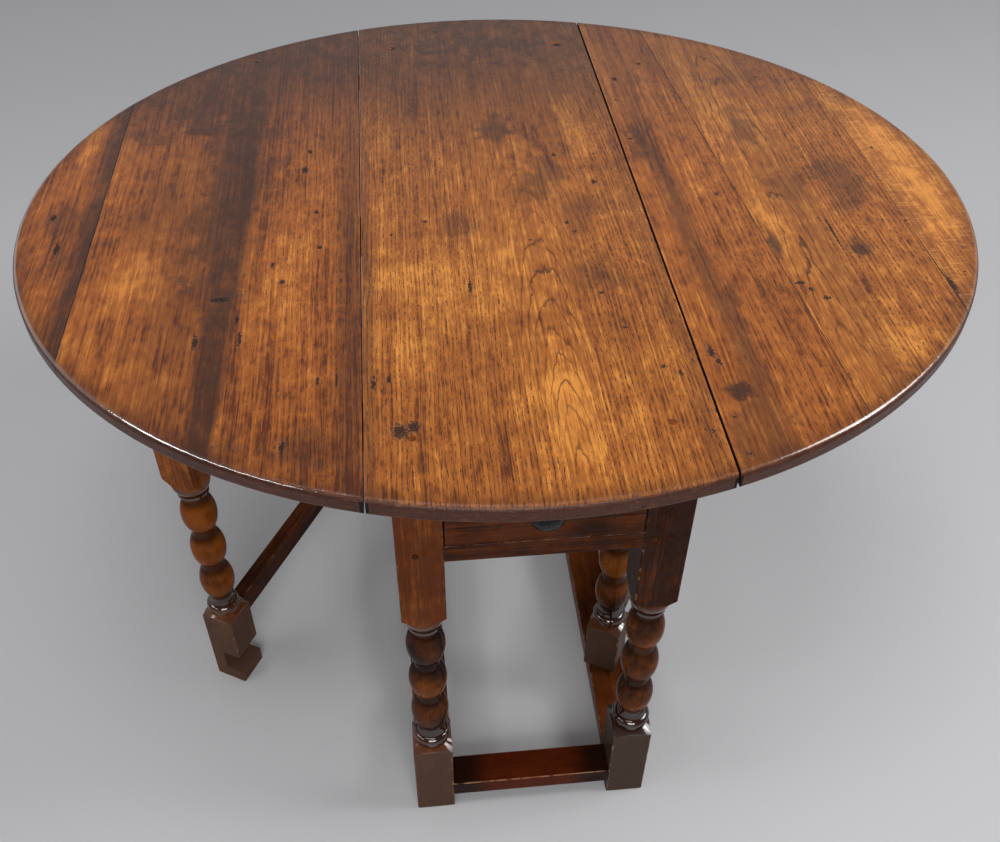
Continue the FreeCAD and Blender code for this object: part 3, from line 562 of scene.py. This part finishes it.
def oak_figure_group():
    """Oak cut from a log: rows of pores round a heart line, crowns, fine pores, and fibres along Y."""
    group, w, given, result = new_group(
        "oak_figure", ["Position"],
        ["Heart Across", "Heart Depth", "Lean", "Ring Spacing", "Wander", "Crown End"],
        ["Rings", "Pores", "Fibres", "Ring Tone", "Crown"],
    )
    position = given["Position"]
    x, y, z = w.split(position)

    # Rings round the heart line, bent by slow and quick noise
    sway = w.shifted(0.0, w.noise(position, **slow_bend), given["Wander"])
    ripple = w.shifted(0.0, w.noise(position, **quick_bend), w.times(given["Ring Spacing"], ripple_rings))
    beside = w.math("ADD", w.math("SUBTRACT", x, given["Heart Across"]), sway)
    depth = w.raised(w.math("SUBTRACT", z, given["Heart Depth"]), y, given["Lean"])
    radius = w.diagonal(beside, w.math("ADD", depth, sway))
    count = w.math("DIVIDE", w.math("ADD", radius, ripple), given["Ring Spacing"])
    ring = w.math("FRACT", count)
    number = w.math("FLOOR", count)
    ring_tone = w.noise(w.combine(number, w.times(y, ring_tone_stretch), 0.0), **ring_tone_noise)

    # Rows of pores, joined into crown lines where the saw met the rings flat
    flat = w.ease(w.math("DIVIDE", w.math("ABSOLUTE", beside), radius), *crown_flat)
    near = w.ease(y, given["Crown End"], w.math("SUBTRACT", given["Crown End"], crown_fade))
    crown = w.times(flat, near)
    worth = w.ease(w.noise(w.combine(w.times(number, crown_seed), 0.0, 0.0)), *crown_worth)
    whole = w.ease(w.noise(position, **torn_lines), *crown_torn)
    crown_line = w.times(w.within(ring, crown_rise, crown_fall), w.times(worth, whole))
    row = w.times(w.within(ring, row_rise, row_fall), w.raised(1.0, flat, crown_row_loss))
    breaks = w.noise(w.combine(w.times(number, row_seed), w.times(y, row_breaks_stretch), 0.0))
    rings = w.math("MAXIMUM", w.times(row, w.ease(breaks, *row_breaks)), w.times(crown_line, crown))

    # Fine pores and fibres
    bent = w.combine(w.raised(x, sway, fibre_sway), y, z)
    away, _ = w.cells(w.vector("MULTIPLY", bent, pore_cells))
    reach = w.raised(pore_reach, row, pore_row_reach)
    pores = w.times(w.ease(away, reach, w.times(reach, pore_core)), w.raised(1.0, crown, crown_pore_loss))
    both = w.math("ADD", w.noise(bent, **broad_fibres), w.noise(bent, **fine_fibres))
    fibres = w.times(both, fibre_share)
    for socket, value in zip(result, (rings, pores, fibres, ring_tone, crown)):
        w.feed(socket, value)
    return group


def spot_group():
    """Mask of one ragged spot round a middle, with a half width along X and a half length along Y."""
    group, w, given, result = new_group(
        "spot", ["Position", "Middle"],
        ["Ragged", "Half Width", "Half Length", "Softness", "Strength"], ["Mask"],
    )
    x, y, _ = w.split(w.vector("SUBTRACT", given["Position"], given["Middle"]))
    far = w.diagonal(w.math("DIVIDE", x, given["Half Width"]), w.math("DIVIDE", y, given["Half Length"]))
    far = w.math("ADD", far, given["Ragged"])
    inner = w.math("SUBTRACT", 1.0, given["Softness"])
    w.feed(result["Mask"], w.times(w.ease(far, 1.0, inner), given["Strength"]))
    return group


def band_group():
    """Mask of a soft band that runs along the grain and may slant, wander and taper."""
    group, w, given, result = new_group(
        "band", ["Position"],
        ["Sway", "Middle", "Slant", "Half Width", "Softness", "Strength", "Taper"], ["Mask"],
    )
    x, y, _ = w.split(given["Position"])
    line = w.raised(given["Middle"], y, given["Slant"])
    away = w.math("ABSOLUTE", w.math("ADD", w.math("SUBTRACT", x, line), given["Sway"]))
    wide = w.times(given["Half Width"], w.raised(1.0, y, given["Taper"]))
    inner = w.math("SUBTRACT", 1.0, given["Softness"])
    w.feed(result["Mask"], w.times(w.ease(w.math("DIVIDE", away, wide), 1.0, inner), given["Strength"]))
    return group


def specks_group():
    """Mask of small scattered dents and burns of many sizes."""
    group, w, given, result = new_group("specks", ["Position"], ["Spacing", "Size"], ["Mask"])
    spacing = given["Spacing"]
    away, chance = w.cells(w.vector("DIVIDE", given["Position"], w.combine(spacing, spacing, spacing)))
    rare = w.math("POWER", w.split(chance)[0], speck_rarity)
    size = w.times(rare, w.math("DIVIDE", given["Size"], spacing))
    size = w.times(size, w.raised(speck_least, w.noise(given["Position"], **speck_noise), speck_ragged))
    w.feed(result["Mask"], w.ease(away, size, w.times(size, speck_core)))
    return group


def arris_wear_group():
    """Mask of rubbed arrises, where a surface turns between two square faces, broken up along them."""
    group, w, given, result = new_group("arris_wear", ["Position", "Normal"], ["Cover"], ["Wear"])
    square = w.largest([w.math("ABSOLUTE", part) for part in w.split(given["Normal"])])
    start = w.math("SUBTRACT", arris_start, given["Cover"])
    patches = w.noise(given["Position"], **arris_noise)
    broken = w.ease(patches, start, w.math("ADD", start, arris_blur))
    w.feed(result["Wear"], w.times(w.ease(square, *arris_turn), broken))
    return group


oak_figure = oak_figure_group()
spot = spot_group()
band = band_group()
specks = specks_group()
arris_wear = arris_wear_group()


def new_material(name):
    """Material with one principled shader, its wiring, and the object's own places and normals."""
    material = bpy.data.materials.new(name)
    material.use_nodes = True
    material.node_tree.nodes.clear()
    w = Wiring(material.node_tree)
    shader = w.add("ShaderNodeBsdfPrincipled")
    w.feed(w.add("ShaderNodeOutputMaterial").inputs["Surface"], shader.outputs[0])
    place = w.add("ShaderNodeTexCoord").outputs
    return material, w, shader.inputs, place["Object"], place["Normal"]


def raise_surface(w, shader, height, strength, depth):
    """Bump from a height."""
    bump = w.add("ShaderNodeBump")
    w.feed(bump.inputs["Strength"], strength)
    w.feed(bump.inputs["Distance"], depth)
    w.feed(bump.inputs["Height"], height)
    w.feed(shader["Normal"], bump.outputs[0])


def wax(w, shader, coat, specular, coat_roughness, coat_ior):
    """Even shine of the wood, under a coat that changes over it."""
    w.feed(shader["Specular IOR Level"], specular)
    w.feed(shader["Coat Weight"], coat)
    w.feed(shader["Coat Roughness"], coat_roughness)
    w.feed(shader["Coat IOR"], coat_ior)


def turned(w, position, turn, middle=origin):
    """Position from a middle, turned back by a turn."""
    mapping = w.add("ShaderNodeMapping", vector_type="TEXTURE")
    w.feed(mapping.inputs["Vector"], position)
    w.feed(mapping.inputs["Location"], middle)
    w.feed(mapping.inputs["Rotation"], turn)
    return mapping.outputs[0]


def spots_mask(w, position, ragged, softness, places):
    """Largest of several spots, or nothing where a board has none."""
    if not places:
        return 0.0
    return w.largest([
        w.use(spot, position=position, ragged=ragged, middle=(x, y, 0.0), half_width=wide,
              half_length=long, softness=softness, strength=strength)[0]
        for x, y, wide, long, strength in places
    ])


def joints_mask(w, position, ragged, joints):
    """Dark glue lines; a line opens to a ragged crack from its start towards the near rim."""
    if not joints:
        return 0.0
    x, y, _ = w.split(position)
    lines = []
    for place, slant, half_width, crack_start, crack_half_width in joints:
        away = w.math("ABSOLUTE", w.math("SUBTRACT", x, w.raised(place, y, slant)))
        wide = w.ease(y, crack_start, crack_start - crack_length, half_width, crack_half_width)
        wide = w.times(wide, w.math("ADD", ragged, 1.0))
        lines.append(w.ease(away, wide, w.times(wide, line_core)))
    return w.largest(lines)


def top_shares(w, position, cut):
    """Figure and noises of one top board, by their names."""
    heart_across, heart_depth = cut["heart"]
    figure = w.use(oak_figure, position=position, heart_across=heart_across, heart_depth=heart_depth,
                   lean=cut["lean"], ring_spacing=cut["spacing"], wander=cut["wander"],
                   crown_end=cut["crown"])
    shares = {title: w.noise(position, **shape) for title, shape in top_noises.items()}
    for title, size in top_swings.items():
        shares[title] = w.shifted(0.0, shares[title], size)

    # Quiet zones have closed, faint grain
    quiet = spots_mask(w, position, shares["drift"], quiet_softness, cut["quiet"])
    open_grain = w.math("MULTIPLY", w.raised(1.0, quiet, quiet_loss), cut["open_grain"], clamp=True)
    shares["rings"] = w.times(figure["Rings"], open_grain)
    shares["pores"] = w.times(figure["Pores"], open_grain)
    shares["fibres"] = figure["Fibres"]
    shares["ring tone"] = figure["Ring Tone"]
    shares["crown"] = figure["Crown"]
    return shares


def top_wood(w, position, cut, shares):
    """Wood of one top board, from dark fibres to light ones, with its bands, stains and darkening towards
    the back.
    """
    tone = cut["lightness"]
    for title, strength in top_tone_shares.items():
        tone = w.shifted(tone, shares[title], strength)
    tone = w.raised(tone, spots_mask(w, position, shares["drift"], glow_softness, cut["glow"]), glow_tone)
    tone = w.raised(tone, shares["crown"], crown_tone)
    wood = w.tint(w.ease(tone, *dark_to_middle), top_colours["dark"], top_colours["middle"])
    wood = w.tint(w.ease(tone, *middle_to_light), wood, top_colours["light"])
    shades = [
        w.use(band, position=position, sway=shares["sway"], middle=x, slant=slant, half_width=wide,
              softness=soft, strength=strength, taper=taper)[0]
        for x, slant, wide, soft, strength, taper in cut["bands"]
    ]
    shades.append(spots_mask(w, position, shares["drift"], stain_softness, cut["stains"]))
    # Darker towards the back of the top
    shades.append(w.ease(w.split(position)[1], *back_dark_reach, 0.0, cut["back_dark"]))
    uneven = w.raised(stain_least, shares["blotches"], stain_blotch)
    stained = w.math("MULTIPLY", w.largest(shades), uneven, clamp=True)
    wood = w.stain(wood, top_colours["stain"], stained, stain_cover)
    return w.tint(cut["warmth"], wood, w.tint(1.0, wood, top_colours["warm"], "MULTIPLY"))


def top_marks(w, position, cut, shares):
    """Scattered specks, glue lines and ragged marks of one top board."""
    return w.largest([
        w.use(specks, position=position, spacing=speck_spacing, size=speck_size)[0],
        joints_mask(w, position, shares["ragged"], cut["joints"]),
        spots_mask(w, position, shares["ragged"], mark_softness, [mark + (1.0,) for mark in cut["marks"]]),
    ])


def top_faces(w, position, facing):
    """Masks of one top board's faces: rim, underside, the seam walls by the leaf joints where shade is
    painted, and rubbed arrises.
    """
    x = w.split(position)[0]
    beside = w.math("ABSOLUTE", w.math("SUBTRACT", w.math("ABSOLUTE", x), leaf_joint))
    leaves = w.math("ADD", w.ease(x, *left_rubbed), w.ease(x, *right_rubbed))
    return {
        "rim": w.ease(facing, *rim_facing),
        "under": w.ease(facing, *under_facing),
        "seam shade": w.times(w.ease(beside, *seam_reach), w.ease(w.math("ABSOLUTE", facing), *seam_facing)),
        "rubbed": w.times(leaves, w.ease(facing, *arris_facing)),
    }


def top_edges(w, position, wood, shares):
    """Grimy border, scuffed rim, bare underside and painted shade in the seams over the wood of one top
    board.
    """
    x, y, _ = w.split(position)
    out = w.diagonal(w.math("DIVIDE", x, top_half_length), w.math("DIVIDE", y, top_half_width))
    out = w.shifted(out, shares["clouds"], border_waver)
    wood = w.tint(w.ease(out, *border_reach), wood, top_colours["edge"])
    scuffed = w.tint(w.ease(shares["scuff"], *scuff_cover), top_colours["edge"], top_colours["scuffed"])
    wood = w.stain(wood, scuffed, shares["rim"], rim_cover)
    light = w.ease(shares["fibres"], *bare_fibres)
    bare = w.tint(light, top_colours["bare dark"], top_colours["bare light"])
    bare = w.stain(bare, top_colours["pore"], shares["rings"], bare_rings)
    wood = w.tint(shares["under"], wood, bare)
    # Painted shade: the seam walls go near-black
    return w.tint(shares["seam shade"], wood, top_colours["grime and seam shade"])


def top_wax(w, shader, facing, shares):
    """Wax, duller in pores, marks and seams, hardest on the leaves' arrises and gone underneath."""
    roughness = top_roughness
    for title, change in top_roughness_changes.items():
        roughness = w.raised(roughness, shares[title], change)
    w.feed(shader["Roughness"], w.raised(roughness, shares["under"], under_roughness, clamp=True))
    coat = w.times(shares["rubbed"], w.ease(facing, *polish_facing))
    wax(w, shader, coat, top_specular, top_coat_roughness, top_coat_ior)


def top_board_material(name, cut):
    """Waxed oak of one top board, with its figure, stains, marks, dark rim and bare underside."""
    material, w, shader, position, normal = new_material(name + "_oak")
    shares = top_shares(w, position, cut)
    wood = top_wood(w, position, cut, shares)
    wood = w.stain(wood, top_colours["pore"], shares["rings"], ring_cover)
    wood = w.stain(wood, top_colours["pore"], shares["pores"], pore_cover)
    wood = w.stain(wood, top_colours["fleck"], w.ease(shares["rays"], *ray_width), cut["flecks"])
    shares["marks"] = top_marks(w, position, cut, shares)
    wood = w.stain(wood, top_colours["mark"], shares["marks"], mark_cover)
    facing = w.split(normal)[2]
    shares.update(top_faces(w, position, facing))
    w.feed(shader["Base Color"], top_edges(w, position, wood, shares))
    top_wax(w, shader, facing, shares)
    height = w.times(shares["fibres"], top_fibre_height)
    for title, rise in top_heights.items():
        height = w.raised(height, shares[title], rise)
    raise_surface(w, shader, height, top_bump_strength, oak_bump_depth)
    return material


def turned_wood(w, wood, place, shares, balls, rings, ball_warmth):
    """Warm balls with painted shade towards their necks, dark rings, and a dusty foot over the plain wood
    of a leg.
    """
    x, y, z = place
    warm = w.shifted(ball_warmth, shares["clouds"], ball_clouds)
    warm = w.shifted(warm, shares["fibres"], ball_fibres)
    ball = w.tint(w.ease(warm, *ball_deep_to_warm), frame_colours["ball deep"], frame_colours["ball"])
    # Painted shade: the balls darken towards the narrow necks between them
    ball = w.tint(w.ease(w.diagonal(x, y), *neck_shade), ball, frame_colours["hollow"])
    ball = w.stain(ball, frame_colours["ball deep"], rings, ring_shade)
    wood = w.tint(balls, wood, ball)
    uneven = w.raised(dust_least, shares["smears"], dust_smears)
    dust = w.math("MULTIPLY", w.ease(z, *dust_height), uneven, clamp=True)
    return w.stain(wood, frame_colours["grime and seam shade"], dust, dust_cover)


def leg_chips(w, position, place, half):
    """Chipped corners and foot edges of a leg, fainter on its head block."""
    x, y, z = place
    corner = w.math("MINIMUM", w.math("ABSOLUTE", x), w.math("ABSOLUTE", y))
    edges = w.largest([w.ease(corner, half - corner_start, half - corner_end), w.ease(z, *foot_edge)])
    broken = w.times(edges, w.ease(w.noise(position, **chip_noise), *chip_break))
    return w.times(broken, w.largest([w.ease(z, *foot_chips), w.ease(z, *head_chips)]))


def frame_wood(w, shares, tone, red):
    """Plain wood of one frame member, from deep brown to light, with its pores."""
    for title, strength in frame_tone_shares.items():
        tone = w.shifted(tone, shares[title], strength)
    wood = w.tint(w.ease(tone, *deep_to_brown), frame_colours["deep"], frame_colours["brown"])
    wood = w.tint(w.ease(tone, *brown_to_light), wood, frame_colours["light"])
    wood = w.tint(red, wood, frame_colours["red"])
    wood = w.stain(wood, frame_colours["pore"], shares["rings"], frame_ring_cover)
    return w.stain(wood, frame_colours["pore"], shares["pores"], frame_pore_cover)


def frame_oak_material(name, turn, middle=origin, tone=0.5, red=0.0, dull=0.42, rubbed=0.7, cover=0.20,
                       dark_ends=None, lie=unturned, leg=None):
    """Dark polished oak of one frame member; a leg comes with its balls' warmth and its half width."""
    material, w, shader, position, normal = new_material(name)
    grain = turned(w, position, turn, middle)
    figure = w.use(oak_figure, position=grain, **frame_cut)
    shares = {title.lower(): figure[title] for title in ("Rings", "Pores", "Fibres", "Ring Tone")}
    shares["clouds"] = w.noise(position, **frame_clouds)
    shares["smears"] = w.noise(position, **frame_smears)
    wood = frame_wood(w, shares, tone, red)
    roughness = w.shifted(dull, shares["smears"], smear_roughness)
    coat = w.ease(shares["smears"], *frame_coat)
    if leg:
        ball_warmth, half = leg
        x, y, z = w.split(turned(w, position, lie, middle))
        balls = w.within(z, turned_rise, turned_fall)
        rings = w.largest([w.within(z, ring_rise, ring_fall), w.within(z, cup_rise, cup_fall)])
        wood = turned_wood(w, wood, (x, y, z), shares, balls, rings, ball_warmth)
        roughness = w.raised(roughness, balls, turned_roughness)
        roughness = w.raised(roughness, rings, ring_roughness)
        coat = w.largest([coat, w.times(balls, ball_coat), w.times(rings, ring_coat)])
        wear = leg_chips(w, position, (x, y, z), half)
    else:
        wear = w.use(arris_wear, position=position, normal=turned(w, normal, lie), cover=cover)[0]
    if dark_ends:
        far = w.shifted(w.math("ABSOLUTE", w.split(grain)[1]), shares["clouds"], dark_end_waver)
        wood = w.tint(w.ease(far, *dark_ends, 0.0, dark_end_cover), wood, frame_colours["hollow"])
    w.feed(shader["Base Color"], w.stain(wood, frame_colours["rubbed"], wear, rubbed))
    roughness = w.raised(roughness, shares["pores"], pore_roughness)
    w.feed(shader["Roughness"], w.raised(roughness, wear, worn_roughness, clamp=True))
    wax(w, shader, coat, frame_specular, frame_coat_roughness, frame_coat_ior)
    height = w.times(shares["fibres"], frame_fibre_height)
    for title, rise in frame_heights.items():
        height = w.raised(height, shares[title], rise)
    raise_surface(w, shader, height, frame_bump_strength, oak_bump_depth)
    return material


def iron_material():
    """Blackened wrought iron with a little rust."""
    material, w, shader, position, _ = new_material("blackened_iron")
    rust = w.noise(position, **rust_noise)
    pits = w.noise(position, **pit_noise)
    w.feed(shader["Base Color"], w.tint(w.ease(rust, *rust_colour), iron_black, iron_rust))
    w.feed(shader["Metallic"], w.ease(rust, *rust_metal))
    w.feed(shader["Roughness"], w.raised(iron_roughness, rust, rust_roughness))
    raise_surface(w, shader, w.math("ADD", pits, rust), iron_bump_strength, iron_bump_depth)
    return material


def knob_material():
    """Glossy black knob with cloudy dust."""
    material, w, shader, position, _ = new_material("black_knob")
    clouds = w.noise(position, **knob_clouds)
    w.feed(shader["Base Color"], w.tint(w.ease(clouds, *knob_dust), knob_black, knob_grey))
    w.feed(shader["Roughness"], w.raised(knob_roughness, clouds, knob_dust_roughness))
    w.feed(shader["Specular IOR Level"], knob_specular)
    raise_surface(w, shader, clouds, knob_bump_strength, knob_bump_depth)
    return material


def bare_oak_material():
    """Bare dry oak of the drawer's inside, with a little dirt."""
    material, w, shader, position, _ = new_material("bare_oak")
    figure = w.use(oak_figure, position=position, **bare_oak_cut)
    clouds = w.noise(position, **bare_oak_clouds)
    tone = w.raised(w.times(figure["Fibres"], bare_oak_fibres), clouds, bare_oak_dirt)
    wood = w.tint(w.ease(tone, *bare_oak_range), bare_oak_dark, bare_oak_light)
    w.feed(shader["Base Color"], w.stain(wood, bare_oak_pore, figure["Pores"], bare_oak_pore_cover))
    w.feed(shader["Roughness"], w.raised(bare_oak_roughness, clouds, bare_oak_dirt_roughness))
    height = w.math("SUBTRACT", figure["Fibres"], figure["Pores"])
    raise_surface(w, shader, height, bare_oak_bump_strength, bare_oak_bump_depth)
    return material


def dress(names, material):
    """Gives CAD nodes a material."""
    for name in names:
        slots = nodes[name].data.materials
        slots.clear()
        slots.append(material)


def middle_of(name):
    """Middle of a node's box, on the floor."""
    low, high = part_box(name)
    return (low.x + high.x) / 2, (low.y + high.y) / 2, 0.0


def dress_member(name, turn, **finish):
    """Gives one frame member an oak of its own."""
    dress([name], frame_oak_material(name + "_oak", turn, middle_of(name), **finish))


def dress_legs():
    """Legs, gate legs and gate posts."""
    for name in sorted(n for n in nodes if n.startswith("leg_") or n.endswith(("gate_leg", "gate_post"))):
        tone, ball_warmth = leg_tones.get(name, usual_leg_tone)
        lie, half = (gate_turn, gate_half) if "gate" in name else (unturned, leg_half)
        dress_member(name, upright, tone=tone, lie=lie, leg=(ball_warmth, half))


def dress_rails():
    """Rails, stretchers and the drawer's front."""
    for side in ("left", "right"):
        for name in (side + "_gate_upper_rail", side + "_gate_lower_rail"):
            dress_member(name, gate_turn, lie=gate_turn, **gate_rail_finish)
        for name in ("side_rail_" + side, "side_stretcher_" + side):
            dress_member(name, unturned, **side_finish)
    for name in ("end_stretcher_front", "end_stretcher_back"):
        dress_member(name, across, **end_stretcher_finish)
    for name in ("back_end_rail", "drawer_bearer_rail", "drawer_front"):
        dress_member(name, across, **end_rail_finish)


def dress_small_parts():
    """Inside of the drawer, iron, knob and pegs."""
    inside = ["drawer_runner_left", "drawer_runner_right", "drawer_side_left", "drawer_side_right",
              "drawer_back", "drawer_bottom"]
    dress(inside, bare_oak_material())
    dress([n for n in nodes if "hinge" in n or "nails" in n], iron_material())
    dress(["drawer_knob"], knob_material())
    pegs = [n for n in nodes if n.endswith("pegs") and n != "top_pegs"]
    dress(pegs, frame_oak_material("peg_oak", upright, **peg_finish))
    dress(["top_pegs"], frame_oak_material("top_peg_oak", upright, **top_peg_finish))


def dress_all():
    """Materials of every node."""
    for name, cut in boards.items():
        dress([name], top_board_material(name, cut))
    dress_legs()
    dress_rails()
    dress_small_parts()


def floor_material():
    """Plain pale studio floor."""
    material, w, shader, position, _ = new_material("studio_floor")
    w.feed(shader["Base Color"], w.tint(w.noise(position, **floor_clouds), floor_grey, floor_pale))
    w.feed(shader["Roughness"], floor_roughness)
    return material


def make_floor():
    """Wide floor under the table."""
    bpy.ops.object.select_all(action="DESELECT")
    bpy.ops.mesh.primitive_plane_add(size=floor_size)
    floor = bpy.context.object
    floor.name = "studio_floor"
    floor.data.materials.append(floor_material())


def light_room():
    """Dim room, paler towards the back and near the floor."""
    world = bpy.data.worlds.new("studio_room")
    bpy.context.scene.world = world
    world.use_nodes = True
    w = Wiring(world.node_tree)
    background = world.node_tree.nodes["Background"]
    _, y, z = w.split(w.add("ShaderNodeTexCoord").outputs["Generated"])
    pale = w.times(w.ease(y, *room_back), w.ease(z, *room_low))
    w.feed(background.inputs["Color"], w.tint(pale, room_dark, room_pale))


def make_lamp(name, place, aim, width, height, power):
    """Area lamp that points at a height over the table's middle."""
    lamp = bpy.data.lights.new(name, "AREA")
    lamp.shape = "RECTANGLE"
    lamp.size = width
    lamp.size_y = height
    lamp.energy = power
    holder = bpy.data.objects.new(name, lamp)
    bpy.context.scene.collection.objects.link(holder)
    holder.location = place
    towards = Vector((0.0, 0.0, aim)) - Vector(place)
    holder.rotation_euler = towards.to_track_quat("-Z", "Y").to_euler()


def make_camera():
    """Camera at the picture's angle."""
    forward = Vector((
        math.sin(camera_yaw) * math.cos(camera_pitch),
        math.cos(camera_yaw) * math.cos(camera_pitch),
        -math.sin(camera_pitch),
    ))
    right = Vector((math.cos(camera_yaw), -math.sin(camera_yaw), 0.0))
    up = right.cross(forward)
    side = right * math.cos(camera_roll) - up * math.sin(camera_roll)
    rise = right * math.sin(camera_roll) + up * math.cos(camera_roll)
    data = bpy.data.cameras.new("picture_camera")
    data.sensor_width = sensor_width
    data.lens = focal_pixels / picture_width * sensor_width
    camera = bpy.data.objects.new("picture_camera", data)
    bpy.context.scene.collection.objects.link(camera)
    turn = Matrix((side, rise, -forward)).transposed()
    camera.matrix_world = Matrix.Translation(camera_place) @ turn.to_4x4()
    bpy.context.scene.camera = camera


dress_all()
make_floor()
light_room()
for lamp_name, lamp_values in lamps.items():
    make_lamp(lamp_name, **lamp_values)
make_camera()
bpy.context.scene.view_settings.view_transform = "Standard"
